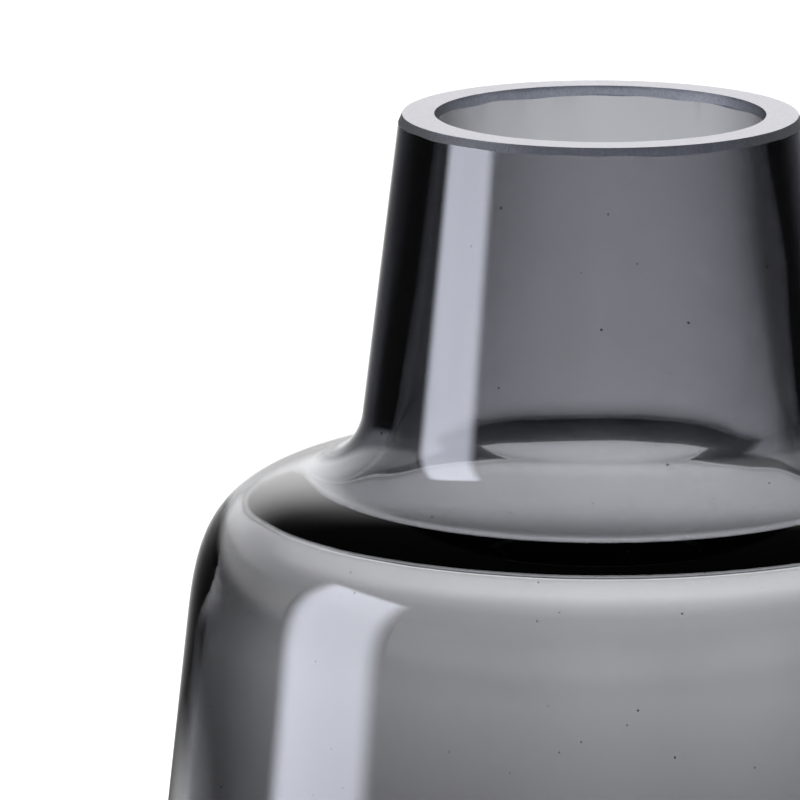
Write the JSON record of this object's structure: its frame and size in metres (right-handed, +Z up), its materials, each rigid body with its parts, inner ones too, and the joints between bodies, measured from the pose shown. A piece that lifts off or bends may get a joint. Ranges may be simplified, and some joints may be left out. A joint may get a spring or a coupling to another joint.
{
  "type": "vase",
  "caption": "Blown smoke-glass flower vase with a flaring conical neck, ground rim, rounded shoulder, widening body and heavy base.",
  "frame": {"origin": "centre of the foot ring, on the surface the vase stands on", "axes": "+Z up along the vase's axis, from the foot to the rim; the form is the same all round, so X and Y have no preference"},
  "size_m": [0.177, 0.177, 0.24],
  "materials": {
    "smoke_glass": "fire-polished, with a cut and ground rim"
  },
  "bodies": {
    "root": {"vase_glass": "smoke_glass"}
  },
  "joints": []
}
